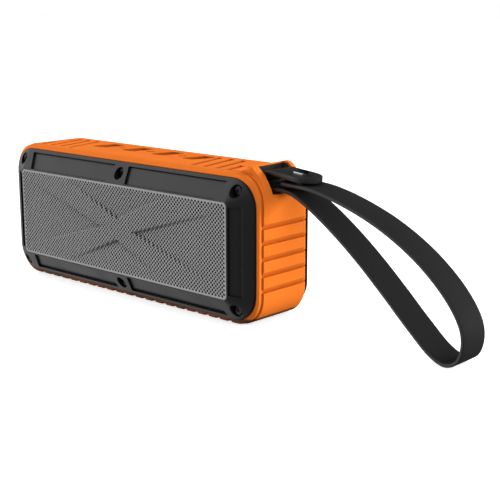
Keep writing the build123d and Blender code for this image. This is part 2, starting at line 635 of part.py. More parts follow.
def make_rear_cover():
    cover = mirror(cover_blank(58.0), about=Plane.XZ)
    cover_front_y = -COVER_BACK_Y
    inner_rim = outline(77.6, 27.2, 9.5, cover_front_y)
    inner_face = outline(67.6, 18.8, 2.0, COVER_INNER_Y)
    cover -= loft([inner_rim, inner_face])
    fills = [block((PORT_X[0] - 1.6, PORT_X[1] + 1.6), (PORT_FLOOR_Y - 1.6, BACK_Y - 1.0), (12.4, 27.6))]
    for x, z in screw_sites(REAR_SCREW_X):
        fills.append(rod_y(x, z, 3.4, cover_front_y, 19.6))
    for x, z in BOARD_SCREWS:
        fills.append(rod_y(x, z, 2.2, MAIN_BOARD_Y[1], BACK_Y - 1.0))
    cover += fuse(fills)
    for x, z in screw_sites(REAR_SCREW_X):
        cover -= rod_y(x, z, COUNTERBORE_R, -SCREW_SEAT_Y, BACK_Y + 1.0)
        cover -= rod_y(x, z, SCREW_R + SCREW_GAP, cover_front_y, -SCREW_SEAT_Y)
    for x, z in BOARD_SCREWS:
        cover -= rod_y(x, z, 1.0, MAIN_BOARD_Y[1], MAIN_BOARD_Y[1] + 5.0)
    cover -= block(PORT_X, (PORT_FLOOR_Y, BACK_Y + 1.0), PORT_Z)
    cover -= rod_y(AUX_X, PORT_MID_Z, 3.05, PORT_FLOOR_Y - 2.0, PORT_FLOOR_Y)
    usb_half_x, usb_half_z = USB_HALF
    cover -= block(
        (USB_X - usb_half_x - 0.1, USB_X + usb_half_x + 0.1),
        (PORT_FLOOR_Y - 2.0, PORT_FLOOR_Y),
        (PORT_MID_Z - usb_half_z - 0.1, PORT_MID_Z + usb_half_z + 0.1),
    )
    cover -= rod_y(POWER_X, POWER_Z, 4.85, COVER_INNER_Y - 1.0, BACK_Y + 1.0)
    cover -= rod_y(LIGHT_X, POWER_Z, 1.2, COVER_INNER_Y - 1.0, BACK_Y + 1.0)
    for row in range(-2, 3):
        for x_low, x_high in RADIATOR_SLOTS:
            inset = 5.0 if abs(row) == 2 and (x_low < -50 or x_high > 2) else 0.0
            low = x_low + (inset if x_low < -50 else 0.0)
            high = x_high - (inset if x_high > 2 else 0.0)
            plane = xz_plane(BACK_Y + 1.0, x=(low + high) / 2, z=MID_Z + row * 6.0)
            cover -= extrude(plane * SlotOverall(high - low, 3.0), amount=4.0)
    add("rear_cover", cover)
    screws = [screw(x, z, SCREW_SEAT_Y, SCREW_LENGTH) for x, z in screw_sites(REAR_SCREW_X)]
    add("rear_screws", mirror(group(screws), about=Plane.XZ))


def make_radiator():
    """The passive radiator behind the slots of the rear cover."""
    frame = slot_slab(38.0, 18.0, 19.4, COVER_INNER_Y)
    frame -= slot_slab(35.0, 15.0, 19.4, COVER_INNER_Y)
    add("radiator_frame", frame)
    roll = slot_slab(37.0, 17.0, 18.8, 19.4) + slot_slab(34.6, 14.6, 17.2, 19.4)
    roll -= slot_slab(34.0, 14.0, 17.8, 19.4)
    roll -= slot_slab(31.4, 11.4, 17.2, 17.8)
    roll += slot_slab(31.4, 11.4, 17.2, 18.6)
    roll -= slot_slab(30.8, 10.8, 17.2, 19.4)
    add("radiator_surround", roll)
    plate = slot_slab(30.4, 10.4, 17.0, 18.6)
    plate = fillet(plate.edges().group_by(Axis.Y)[-1], 0.5)
    add("radiator_plate", plate)


def make_port_cover():
    """The rubber flap over both sockets, with its round hinge edge and a grip."""
    pivot_y = PORT_FLOOR_Y + 0.4 + FLAP_T / 2
    low_z, high_z = PORT_Z[0] + 0.4, PORT_Z[1] - 0.4
    y_range = (pivot_y - FLAP_T / 2, pivot_y + FLAP_T / 2)
    flap = block((FLAP_PIVOT_X, PORT_X[1] - 0.5), y_range, (low_z, high_z))
    flap = fillet(flap.edges().filter_by(Axis.Y).sort_by(Axis.X)[-2:], 2.0)
    flap += rod_z(FLAP_PIVOT_X, pivot_y, FLAP_T / 2, low_z, high_z)
    grip = block((59.6, 61.8), (BACK_Y - 0.2, BACK_Y + 0.3), (PORT_MID_Z - 3.0, PORT_MID_Z + 3.0))
    flap += grip
    add("port_cover", flap)


# ---- electronics --------------------------------------------------------------------------
def make_electronics():
    """Boards, sockets, chips and the battery in its tray."""
    board = block((27.0, 66.0), MAIN_BOARD_Y, (12.0, 54.0))
    screws = []
    for x, z in BOARD_SCREWS:
        board -= rod_y(x, z, 1.2, *MAIN_BOARD_Y)
        head = rod_y(x, z, 1.9, MAIN_BOARD_Y[0] - 1.0, MAIN_BOARD_Y[0])
        screws.append(head + rod_y(x, z, 1.0, MAIN_BOARD_Y[0], MAIN_BOARD_Y[1] + 4.8))
    cut = 4.2
    board -= block((AUX_X - cut, AUX_X + cut), MAIN_BOARD_Y, (PORT_MID_Z - cut, PORT_MID_Z + cut))
    add("main_board", board)
    add("board_screws", group(screws))
    aux_depth = (5.8, PORT_FLOOR_Y - 1.7)
    aux = block((AUX_X - 4.0, AUX_X + 4.0), aux_depth, (PORT_MID_Z - 4.0, PORT_MID_Z + 4.0))
    aux += rod_y(AUX_X, PORT_MID_Z, 3.0, PORT_FLOOR_Y - 1.7, PORT_FLOOR_Y)
    aux -= rod_y(AUX_X, PORT_MID_Z, AUX_BORE_R, PORT_FLOOR_Y - AUX_BORE_LENGTH, PORT_FLOOR_Y)
    add("aux_socket", aux)
    half_x, half_z = USB_HALF
    x_range = (USB_X - half_x, USB_X + half_x)
    z_range = (PORT_MID_Z - half_z, PORT_MID_Z + half_z)
    usb = block(x_range, (MAIN_BOARD_Y[1], PORT_FLOOR_Y), z_range)
    mouth_x = (x_range[0] + 0.4, x_range[1] - 0.4)
    mouth_z = (z_range[0] + 0.4, z_range[1] - 0.4)
    usb -= block(mouth_x, (MAIN_BOARD_Y[1] + 0.8, PORT_FLOOR_Y), mouth_z)
    tongue_z = (PORT_MID_Z - 0.3, PORT_MID_Z + 0.3)
    usb += block((USB_X - 2.6, USB_X + 2.6), (MAIN_BOARD_Y[1] + 0.8, PORT_FLOOR_Y - 1.0), tongue_z)
    add("usb_socket", usb)
    chips = [
        block((29.5, 36.0), (MAIN_BOARD_Y[1], MAIN_BOARD_Y[1] + 1.2), (35.0, 42.0)),
        block((42.0, 48.0), (MAIN_BOARD_Y[1], MAIN_BOARD_Y[1] + 1.5), (30.0, 36.0)),
        block((57.0, 61.0), (MAIN_BOARD_Y[1], MAIN_BOARD_Y[1] + 1.0), (29.0, 33.0)),
        rod_y(50.0, 45.0, 2.0, MAIN_BOARD_Y[1], MAIN_BOARD_Y[1] + 4.5),
        rod_y(45.0, 45.0, 2.0, MAIN_BOARD_Y[1], MAIN_BOARD_Y[1] + 4.5),
    ]
    add("board_chips", group(chips))
    radio = block((29.0, 41.0), (MAIN_BOARD_Y[0] - 2.2, MAIN_BOARD_Y[0]), (33.0, 47.0))
    add("wireless_module", radio)
    add("status_light", rod_y(LIGHT_X, POWER_Z, 1.15, MAIN_BOARD_Y[1], BACK_Y + 0.1))
    add("key_board", block((-36.0, 28.5), (-2.9, 6.9), (KEY_BOARD_TOP - 1.2, KEY_BOARD_TOP)))
    add("microphone", rod_z(24.0 - 3.0, KEY_Y, 2.0, KEY_BOARD_TOP - 3.2, KEY_BOARD_TOP - 1.2))
    cell = block((-18.5, 18.5), (-11.2, -3.2), (13.0, 52.0))
    cell = fillet(cell.edges().filter_by(Axis.Z), 3.0)
    add("battery_cell", cell)
    tray = block((-20.5, 20.5), (-12.5, -1.6), (11.2, 53.4))
    tray -= block((-18.7, 18.7), (-12.5, -3.1), (12.8, 52.2))
    add("battery_tray", tray)


# ---- strap --------------------------------------------------------------------------------
def strap_route():
    """The band's centre line in XZ: tab, wrap round the bar, loop, and back under the tab."""
    tab = [(TAB_TIP_X, 63.7), (94.0, 64.15), (88.5, 64.75), (83.5, 65.2)]
    top = (WRAP_X, WRAP_Z + WRAP_R)
    bottom = (WRAP_X, WRAP_Z - WRAP_R)
    loop = [(83.8, 58.65), (90.0, 57.7), (99.4, 53.1), (113.6, 43.6), (126.0, 33.8), (138.0, 23.1)]
    loop += [(150.0, 11.9), (160.5, 3.2), (167.0, 0.95), (171.8, 3.3), (174.0, 9.0), (173.3, 16.0)]
    loop += [(167.5, 25.5), (154.2, 38.0), (137.1, 48.5), (119.3, 55.7), (100.8, 60.35), (84.5, 61.35)]
    plane = Plane.XZ
    upper = plane * Spline(*tab, top, tangents=[(-1, 0.15), (-1, 0)])
    left = (WRAP_X - WRAP_R, WRAP_Z)
    wrap = plane * ThreePointArc(top, left, bottom)
    lower = plane * Spline(bottom, (80.4, 58.4), *loop)
    return [upper, wrap, lower]


def band_side(edge, samples, offset):
    """Points on one side of the band along an edge of its centre line. offset takes 0 to 1."""
    points = []
    for step in range(samples):
        t = step / (samples - 1)
        tangent = edge % t
        normal = Vector(-tangent.Z, 0, tangent.X)
        points.append(edge @ t + normal * offset(t))
    return points


def make_strap():
    """The band with its folded tab and the oblong rivet through tab and loop end."""
    half = STRAP_T / 2
    tab, wrap, loop = strap_route()
    samples = ((tab, 9), (wrap, 9), (loop, 72))
    outside = []
    inside = []
    for edge, count in samples:
        tab_extra = TAB_EXTRA if edge is tab else 0.0
        outside += band_side(edge, count, lambda t: -half)
        inside += band_side(edge, count, lambda t, extra=tab_extra: half + extra * (1 - t) ** 0.5)
    outside = drop_repeats(outside)
    inside = drop_repeats(inside)
    edges = [Spline(*outside), Line(outside[-1], inside[-1])]
    edges += [Spline(*inside[::-1]), Line(inside[0], outside[0])]
    face = make_face(edges)
    middle_y = (STRAP_Y[0] + STRAP_Y[1]) / 2
    width = STRAP_Y[1] - STRAP_Y[0]
    band = Pos(0, middle_y, 0) * extrude(face, amount=width / 2, both=True)
    tip_x = TAB_TIP_X - width / 2 + 0.3
    tip = block((tip_x, 110.0), (STRAP_Y[0] - 1, STRAP_Y[1] + 1), (TAB_UNDER_Z, 70.0))
    tip -= rod_z(tip_x, middle_y, width / 2, 50.0, 80.0)
    seat = Pos(STUD_X, middle_y, STUD_Z) * Rot(0, STUD_TILT, 0)
    head = extrude(SlotOverall(*STUD_HEAD), amount=STUD_HEAD_T)
    head = seat * fillet(head.edges().group_by(Axis.Z)[-1], 0.3)
    shank = seat * extrude(SlotOverall(*STUD_SHANK), amount=-STUD_LENGTH)
    tail = seat * Pos(0, 0, -STUD_LENGTH) * extrude(SlotOverall(*STUD_TAIL), amount=-STUD_TAIL_T)
    stud = head + shank + tail
    inlay = extrude(SlotOverall(*STUD_INLAY), amount=INLAY_TOP - INLAY_SEAT)
    inlay = fillet(inlay.edges().group_by(Axis.Z)[-1], 0.7)
    inlay = seat * Pos(INLAY_SHIFT, 0, INLAY_SEAT) * inlay
    add("strap_band", band - tip - stud)
    add("strap_stud", stud - inlay)
    add("stud_inlay", inlay)
    length = sum(edge.length for edge, _ in samples)
    print(f"strap band: {length:.0f} mm along its centre line")


def drop_repeats(points):
    """The same points without the ones that repeat where two edges meet."""
    kept = [points[0]]
    for point in points[1:]:
        if (point - kept[-1]).length > MIN_STEP:
            kept.append(point)
    return kept


# ---- the whole speaker --------------------------------------------------------------------
def main():
    make_front_bezel()
    make_gasket("bezel_gasket", FRONT_SCREW_X, False)
    make_gasket("rear_gasket", REAR_SCREW_X, True)
    make_grille()
    make_housing()
    make_sleeve()
    make_keys()
    make_baffle()
    make_driver("left", -DRIVER_X)
    make_driver("right", DRIVER_X)
    make_rear_cover()
    make_radiator()
    make_port_cover()
    make_electronics()
    make_strap()
    os.makedirs("parts", exist_ok=True)
    for name, shape in parts.items():
        export_step(shape, f"parts/{name}.step")
    print(len(parts), "nodes")


main()
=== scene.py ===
"""The looks of a rugged portable speaker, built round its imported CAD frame. Metres."""

import json
import math

import bpy
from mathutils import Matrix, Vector


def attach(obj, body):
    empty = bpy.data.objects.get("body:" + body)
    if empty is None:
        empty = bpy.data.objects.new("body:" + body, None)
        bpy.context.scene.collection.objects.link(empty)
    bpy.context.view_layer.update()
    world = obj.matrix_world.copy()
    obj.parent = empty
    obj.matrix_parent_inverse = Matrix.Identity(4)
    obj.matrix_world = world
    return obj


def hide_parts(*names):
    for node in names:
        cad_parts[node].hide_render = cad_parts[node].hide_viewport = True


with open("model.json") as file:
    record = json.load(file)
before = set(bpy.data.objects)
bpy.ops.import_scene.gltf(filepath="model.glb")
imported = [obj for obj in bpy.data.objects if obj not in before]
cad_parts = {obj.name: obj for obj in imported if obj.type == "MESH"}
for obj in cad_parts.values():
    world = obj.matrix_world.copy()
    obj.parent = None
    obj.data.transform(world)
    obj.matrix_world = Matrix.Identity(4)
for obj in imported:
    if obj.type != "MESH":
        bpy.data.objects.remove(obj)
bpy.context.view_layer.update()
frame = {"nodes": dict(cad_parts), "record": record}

MM = 0.001

# ---- camera and studio: settings ----------------------------------------------------------
CAMERA_AT = Vector((379.794, -348.304, 137.019)) * MM
CAMERA_AZIMUTH = 42.3245
CAMERA_ELEVATION = 12.9096
CAMERA_ROLL = 0.04
CAMERA_LENS = 79.398
CAMERA_SENSOR = 36.0
CAMERA_RANGE = (0.01, 50.0)

FLOOR_HALF = 6.0
FLOOR_DROP = 0.0002
FLOOR_GLOW = 0.6  # lifts the pale floor so that only the closest shadow is left on it
FLOOR_TONES = ((0.93, 0.93, 0.93, 1.0), (0.95, 0.95, 0.95, 1.0))
WHITE = (1.0, 1.0, 1.0, 1.0)
AMBIENT = 0.48
AMBIENT_BELOW = 0.08
AMBIENT_FADE = (-0.5, 0.1)  # upward part of a direction, from the weak light below to the full light
SOFTBOX_BRIGHT = 1.25  # a large soft light at the left, seen in the gloss of the black parts
SOFTBOX_DIM = 0.03
SOFTBOX_FADES = (("X", -0.7, 0.35), ("Y", 0.0, 0.35), ("Z", -0.2, -1.4))
SUNS = (  # name, direction the light comes from, strength, spread in degrees
    ("key", (-0.88, -0.42, 0.12), 2.7, 8.0),
    ("end", (0.5, 0.86, 0.1), 5.5, 30.0),
    ("fill", (0.92, -0.3, 0.15), 1.5, 60.0),
    ("top", (-0.85, 0.25, 0.26), 3.0, 10.0),
)

# ---- materials: settings ------------------------------------------------------------------
ORANGE = (0.9, 0.2, 0.022)
BLACK = (0.0105, 0.0105, 0.0108)
SHARP_EDGE = 0.82  # cosine between the rounded and the flat normal on a fully rubbed edge
OPEN_FACE = 0.97  # share of the sky that an open face sees, where no shade is painted
FULL_HOLLOW = 0.45  # and that the bottom of a groove sees, where the painted shade is darkest
FOOT_SHADE = (0.085, 0.034, 0.016, 1.0)  # brown of the painted shade along the sleeve's foot, where its underside faces the table
CLOUD_NOISE = (38.0, 4.0)  # scale and detail of the slow changes in a moulded part's colour
SMEAR_NOISE = (95.0, 5.0)  # of the changes in its gloss
METAL_NOISE = (120.0, 3.0)  # of the changes in a metal part's colour
SCRATCH_NOISE = (900.0, 6.0)  # of its scratches
FLOOR_NOISE = (3.0, 3.0)
FLOOR_ROUGHNESS = (0.9, 0.95)
NOISE_SPAN = (0.3, 0.7)  # the values of a noise that give the least and the most roughness
GRAIN_DETAIL = 2.0
GRAIN_STRENGTH = 0.5
SPECK_SPAN = (0.35, 0.7)  # the values of the grain that darken, from not at all to the most
SPECK_SHARE = 0.25
SPECK_SHADE = 0.75
RUBBED_PATCHES = (0.35, 0.65, 0.2, 0.8)  # from these values of the clouds to this much wear
FOOT_PATCHES = (0.2, 0.7, 0.7, 1.0)  # and to this much painted shade along the foot
FOOT_FULL = 0.75  # share of the painted foot shade's height below which it is at its strongest
SCRATCH_GLOSS = (0.6, 1.4)  # a metal's roughness between and in its scratches, against the mean
SCRATCH_DEPTH = 0.00001
SCRATCH_STRENGTH = 0.3
THREAD_WOBBLE = 0.4
THREAD_SHADES = (0.5, 1.4)  # the cloth's colour between its threads and on them
THREAD_ROUGHNESS = (0.05, -0.1)  # what is added to its roughness there
THREAD_DEPTH = 0.0001
THREAD_STRENGTH = 0.8
THREAD_ROUNDING = 0.0001
BEVEL_SAMPLES = 6
HOLLOW_SAMPLES = 12
# Box of object coordinates, in metres, that holds every hollow in the top of the sleeve and keys,
# where shade is painted.
TOP_HOLLOWS = (("X", -0.069, 0.062), ("Y", -0.0128, 0.0175), ("Z", 0.0632, 0.06575))
TOP_HOLLOWS_EDGE = 0.0002
TOP_HOLLOWS_SHADE = 0.48  # painted shade: the sleeve's colour darkened in the grooves, gaps and valleys of its top

# ---- grille: sizes in millimetres ---------------------------------------------------------
FACE_Y = -23.0
MID_Z = 33.0
GRILLE_HALF = (70.0, 21.15)
GRILLE_CORNER = 1.5
FLANGE_BACK = 2.6  # from the face back to the flange
FLANGE_GROWTH = 1.5
HOLE_PITCH = 1.9575  # along a row; the next row is half a pitch away and shifted by half
HOLE_R = 0.56
SIDE_STEPS = 3  # pieces that each side of a hole's diamond cell is cut into
COLUMNS = 71
ROWS = 21
LATTICE_HALF = (COLUMNS * HOLE_PITCH / 2, ROWS * HOLE_PITCH / 2)
LATTICE_SLACK = 0.1
SHEET_T = 0.6
HOLE_DEPTH = 0.3
EDGE_ROLL = (  # inset from the outline and depth behind the face, from the face to the flange's rim
    (0.35, 0.0),
    (0.2, 0.07),
    (0.07, 0.25),
    (0.0, 0.6),
    (0.0, FLANGE_BACK - 0.2),
    (-0.2, FLANGE_BACK),
    (-FLANGE_GROWTH, FLANGE_BACK),
    (-FLANGE_GROWTH, FLANGE_BACK + SHEET_T),
)
SECTOR_DEPTH = 1.8
SECTOR_STEP = 1.3  # width of the slope along a pressed-in triangle's edge
SECTORS = (  # the pressed-in triangles: tip, then the two far corners
    ((0.0, 4.4), (-37.0, 20.0), (37.0, 20.0)),
    ((0.0, -4.4), (-37.0, -20.0), (37.0, -20.0)),
    ((9.7, 0.0), (68.8, 18.2), (68.8, -18.2)),
    ((-9.7, 0.0), (-68.8, 18.2), (-68.8, -18.2)),
)

# ---- strap: sizes in millimetres ----------------------------------------------------------
STRAP_T = 1.5
STRAP_MIDDLE_Y = 2.25
STRAP_WIDTH = 15.5
STRAP_EDGE_R = 0.45
STRAP_SPACING = 1.2  # between the sections of the band
TIP_HALF = 1.2  # half width of the blunt end of the tab's round tip
TAB_EXTRA = 0.9  # the tab is folded, so it is thicker than the band, most at its tip
TAB_LENGTH = 21.0
BAND_CORNER_STEPS = 3
WRAP_X = 77.8  # centre of the band's turn round its bar
WRAP_Z = 61.9
WRAP_R = 3.75
WRAP_STEPS = 6
# The band's centre line in XZ: the tab from its tip, and the loop from the bar and back to it.
STRAP_TAB = ((98.7, 63.7), (94.0, 64.15), (88.5, 64.75), (83.5, 65.2))
STRAP_LOOP = (
    (80.4, 58.4), (83.8, 58.65), (90.0, 57.7), (99.4, 53.1), (113.6, 43.6), (126.0, 33.8),
    (138.0, 23.1), (150.0, 11.9), (160.5, 3.2), (167.0, 0.95), (171.8, 3.3), (173.95, 9.0),
    (173.25, 16.0), (167.5, 25.5), (154.2, 38.0), (137.1, 48.5), (119.3, 55.7), (100.8, 60.35),
    (84.5, 61.35),
)


# ---- camera and pieces --------------------------------------------------------------------
def place_camera():
    azimuth = math.radians(CAMERA_AZIMUTH)
    elevation = math.radians(CAMERA_ELEVATION)
    data = bpy.data.cameras.new("camera")
    data.lens = CAMERA_LENS
    data.sensor_width = CAMERA_SENSOR
    data.clip_start, data.clip_end = CAMERA_RANGE
    camera = bpy.data.objects.new("camera", data)
    camera.location = CAMERA_AT
    camera.rotation_euler = (math.pi / 2 - elevation, math.radians(CAMERA_ROLL), azimuth)
    bpy.context.scene.collection.objects.link(camera)
    bpy.context.scene.camera = camera


def make_mesh_object(name, points, faces, material, smooth=True):
    mesh = bpy.data.meshes.new(name)
    mesh.from_pydata(points, [], faces)
    mesh.validate()
    mesh.materials.append(material)
    for polygon in mesh.polygons:
        polygon.use_smooth = smooth
    piece = bpy.data.objects.new(name, mesh)
    bpy.context.scene.collection.objects.link(piece)
    return piece


# ---- materials ----------------------------------------------------------------------------
class Nodes:
    """A node tree with short calls to add and join nodes."""

    def __init__(self, owner):
        owner.use_nodes = True
        self.nodes = owner.node_tree.nodes
        self.links = owner.node_tree.links

    def add(self, kind, inputs=None, **settings):
        node = self.nodes.new(kind)
        for key, value in settings.items():
            setattr(node, key, value)
        for key, value in (inputs or {}).items():
            if isinstance(value, bpy.types.NodeSocket):
                self.links.new(value, node.inputs[key])
            else:
                node.inputs[key].default_value = value
        return node

    def spread(self, factor, low, high, to_low, to_high):
        """The factor, with low..high stretched to to_low..to_high and clamped."""
        limits = {"From Min": low, "From Max": high, "To Min": to_low, "To Max": to_high}
        return self.add("ShaderNodeMapRange", {"Value": factor, **limits}).outputs["Result"]

    def multiply(self, first, second):
        return self.add("ShaderNodeMath", {0: first, 1: second}, operation="MULTIPLY").outputs[0]

    def blend(self, factor, first, second):
        """Two numbers mixed by a factor."""
        return self.add("ShaderNodeMix", {"Factor": factor, "A": first, "B": second}).outputs["Result"]


class Tree(Nodes):
    """A material's node tree, its Principled shader and the masks that the looks are made of."""

    def __init__(self, name):
        self.material = bpy.data.materials.new(name)
        super().__init__(self.material)
        self.shader = self.nodes["Principled BSDF"]

    def place(self):
        return self.add("ShaderNodeTexCoord").outputs["Object"]

    def noise(self, scale, detail, stretch=(1.0, 1.0, 1.0)):
        mapping = self.add("ShaderNodeMapping", {"Vector": self.place(), "Scale": stretch})
        settings = {"Vector": mapping.outputs["Vector"], "Scale": scale, "Detail": detail}
        return self.add("ShaderNodeTexNoise", settings).outputs["Fac"]

    def mix(self, factor, first, second):
        """Two colours mixed by a factor."""
        node = self.add("ShaderNodeMix", {0: factor, 6: first, 7: second}, data_type="RGBA")
        return node.outputs[2]

    def rounded_normal(self, radius):
        return self.add("ShaderNodeBevel", {"Radius": radius}, samples=BEVEL_SAMPLES).outputs["Normal"]

    def edge_mask(self, normal):
        """One on sharp edges, falling to nothing on flat faces."""
        flat = self.add("ShaderNodeNewGeometry").outputs["Normal"]
        cosine = self.add("ShaderNodeVectorMath", {0: normal, 1: flat}, operation="DOT_PRODUCT")
        return self.spread(cosine.outputs["Value"], 1.0, SHARP_EDGE, 0.0, 1.0)

    def painted_groove_shade(self, reach):
        """Painted shade from ambient occlusion: one deep in grooves and seams, falling to nothing on
        open faces.
        """
        node = self.add("ShaderNodeAmbientOcclusion", {"Distance": reach}, samples=HOLLOW_SAMPLES)
        return self.spread(node.outputs["AO"], OPEN_FACE, FULL_HOLLOW, 0.0, 1.0)

    def foot_shade_mask(self, height, clouds):
        """Painted shade along the foot: one on the ground, falling to nothing at the height, with a
        cloudy edge.
        """
        level = self.add("ShaderNodeSeparateXYZ", {"Vector": self.place()}).outputs["Z"]
        low_shade = self.spread(level, height * FOOT_FULL, height, 1.0, 0.0)
        return self.multiply(low_shade, self.spread(clouds, *FOOT_PATCHES))

    def box_mask(self, box, edge):
        """One inside a box of the object's coordinates, falling to nothing outside its faces."""
        axes = self.add("ShaderNodeSeparateXYZ", {"Vector": self.place()}).outputs
        mask = 1.0
        for axis, low, high in box:
            mask = self.multiply(mask, self.spread(axes[axis], low - edge, low, 0.0, 1.0))
            mask = self.multiply(mask, self.spread(axes[axis], high, high + edge, 1.0, 0.0))
        return mask

    def bump(self, height, depth, strength, normal):
        settings = {"Height": height, "Distance": depth, "Strength": strength, "Normal": normal}
        return self.add("ShaderNodeBump", settings).outputs["Normal"]

    def finish(self, colour, roughness, normal, **sockets):
        self.links.new(colour, self.shader.inputs["Base Color"])
        self.links.new(roughness, self.shader.inputs["Roughness"])
        self.links.new(normal, self.shader.inputs["Normal"])
        for key, value in sockets.items():
            self.shader.inputs[key.replace("_", " ")].default_value = value
        return self.material


def shade(colour, factor):
    return tuple(min(1.0, channel * factor) for channel in colour[:3]) + (1.0,)


def moulded(name, colour, roughness, tint=0.12, grain=2600.0, grain_depth=0.00003, radius=0.0003,
            edge=1.35, rough_spread=0.06, hollow=0.4, reach=0.002, scuffed=0.0, **sockets):
    """Moulded plastic or rubber: cloudy colour, spark-eroded grain, edges rubbed a little paler
    and painted shade in its grooves and seams. scuffed is how high the painted shade along its foot
    reaches; when it is set, the hollows of the top get painted shade too."""
    tree = Tree(name)
    clouds = tree.noise(*CLOUD_NOISE)
    specks = tree.noise(grain, GRAIN_DETAIL)
    body = tree.mix(clouds, shade(colour, 1.0 - tint), shade(colour, 1.0 + tint))
    speckled = tree.spread(specks, *SPECK_SPAN, 0.0, SPECK_SHARE)
    body = tree.mix(speckled, body, shade(colour, SPECK_SHADE))
    normal = tree.rounded_normal(radius)
    rubbed = tree.multiply(tree.edge_mask(normal), tree.spread(clouds, *RUBBED_PATCHES))
    body = tree.mix(rubbed, body, shade(colour, edge))
    # painted shade: darker in grooves and seams, found by ambient occlusion
    body = tree.mix(tree.painted_groove_shade(reach), body, shade(colour, hollow))
    if scuffed:
        # painted shade: brown darkening along the sleeve's foot, where its underside is in shade
        body = tree.mix(tree.foot_shade_mask(scuffed, clouds), body, FOOT_SHADE)
        # painted shade in the grooves, gaps and valleys of the top, to bring out the ribs' relief
        painted_top_shade = tree.box_mask(TOP_HOLLOWS, TOP_HOLLOWS_EDGE)
        body = tree.mix(painted_top_shade, body, shade(colour, TOP_HOLLOWS_SHADE))
    smears = tree.noise(*SMEAR_NOISE)
    rough = tree.spread(smears, *NOISE_SPAN, roughness - rough_spread, roughness + rough_spread)
    normal = tree.bump(specks, grain_depth, GRAIN_STRENGTH, normal)
    return tree.finish(body, rough, normal, **sockets)


def metal(name, colour, roughness, brushed=(1.0, 1.0, 1.0), radius=0.0001, tint=0.08):
    """Plated or turned metal with fine scratches."""
    tree = Tree(name)
    clouds = tree.noise(*METAL_NOISE)
    scratches = tree.noise(*SCRATCH_NOISE, brushed)
    body = tree.mix(clouds, shade(colour, 1.0 - tint), shade(colour, 1.0 + tint))
    smooth, scratched = SCRATCH_GLOSS
    rough = tree.spread(scratches, *NOISE_SPAN, roughness * smooth, roughness * scratched)
    normal = tree.bump(scratches, SCRATCH_DEPTH, SCRATCH_STRENGTH, tree.rounded_normal(radius))
    return tree.finish(body, rough, normal, Metallic=1.0)


def woven(name, colour, roughness, pitch):
    """Thin acoustic cloth: two crossed sets of threads."""
    tree = Tree(name)
    settings = {"Vector": tree.place(), "Scale": 1.0 / pitch, "Distortion": THREAD_WOBBLE}
    warp = tree.add("ShaderNodeTexWave", settings, bands_direction="X").outputs["Fac"]
    weft = tree.add("ShaderNodeTexWave", settings, bands_direction="Z").outputs["Fac"]
    threads = tree.multiply(warp, weft)
    between, on_thread = THREAD_SHADES
    body = tree.mix(threads, shade(colour, between), shade(colour, on_thread))
    rougher, smoother = THREAD_ROUGHNESS
    rough = tree.spread(threads, 0.0, 1.0, roughness + rougher, roughness + smoother)
    normal = tree.bump(threads, THREAD_DEPTH, THREAD_STRENGTH, tree.rounded_normal(THREAD_ROUNDING))
    return tree.finish(body, rough, normal)


# One look per material slot: how it is made, its colour, its roughness and its other settings.
LOOKS = {
    "sleeve_rubber": (moulded, ORANGE, 0.55, {
        "tint": 0.05, "edge": 1.12, "radius": 0.0005, "grain": 1800.0, "grain_depth": 0.00004,
        "hollow": 0.68, "reach": 0.004, "scuffed": 0.0042, "Specular_IOR_Level": 0.08}),
    "black_plastic": (moulded, BLACK, 0.33, {"grain_depth": 0.00002, "edge": 1.9}),
    "housing_plastic": (moulded, (0.03, 0.03, 0.031), 0.5, {}),
    "strap_rubber": (moulded, (0.024, 0.024, 0.0243), 0.45, {
        "grain": 1500.0, "grain_depth": 0.00005, "edge": 1.6, "radius": 0.0005}),
    "grille_metal": (moulded, (0.335, 0.335, 0.338), 0.42, {
        "grain": 3200.0, "grain_depth": 0.00001, "edge": 1.0, "radius": 0.00008, "tint": 0.06}),
    "cloth": (woven, (0.006, 0.006, 0.006), 0.9, {"pitch": 0.0016}),
    "gasket_foam": (moulded, (0.012, 0.012, 0.012), 0.85, {"grain": 2200.0, "grain_depth": 0.0002}),
    "screw_steel": (metal, (0.035, 0.035, 0.037), 0.35, {}),
    "bright_steel": (metal, (0.78, 0.79, 0.81), 0.16, {}),
    "brass_insert": (metal, (0.7, 0.48, 0.2), 0.3, {"brushed": (1.0, 0.1, 1.0)}),
    "cone_paper": (moulded, (0.02, 0.02, 0.022), 0.8, {"grain": 1100.0, "grain_depth": 0.0002}),
    "magnet_ferrite": (moulded, (0.05, 0.05, 0.053), 0.6, {"grain": 1500.0}),
    "motor_steel": (metal, (0.42, 0.43, 0.45), 0.34, {}),
    "coil_copper": (metal, (0.7, 0.3, 0.13), 0.3, {"brushed": (0.1, 6.0, 0.1)}),
    "board": (moulded, (0.012, 0.1, 0.035), 0.3, {"grain": 900.0}),
    "chip": (moulded, (0.012, 0.012, 0.013), 0.5, {"radius": 0.0001}),
    "cell_wrap": (moulded, (0.02, 0.05, 0.2), 0.25, {"grain": 700.0}),
    "light_lens": (moulded, (0.8, 0.83, 0.8), 0.25, {"tint": 0.03, "edge": 1.05}),
    "rivet_black": (moulded, (0.0018, 0.0018, 0.0022), 0.5, {
        "grain_depth": 0.00001, "Specular_IOR_Level": 0.15}),
    "socket_steel": (metal, (0.6, 0.61, 0.63), 0.28, {}),
}


def make_materials():
    made = {}
    for slot, (make, colour, roughness, more) in LOOKS.items():
        made[slot] = make(slot, colour, roughness, **more)
    return made


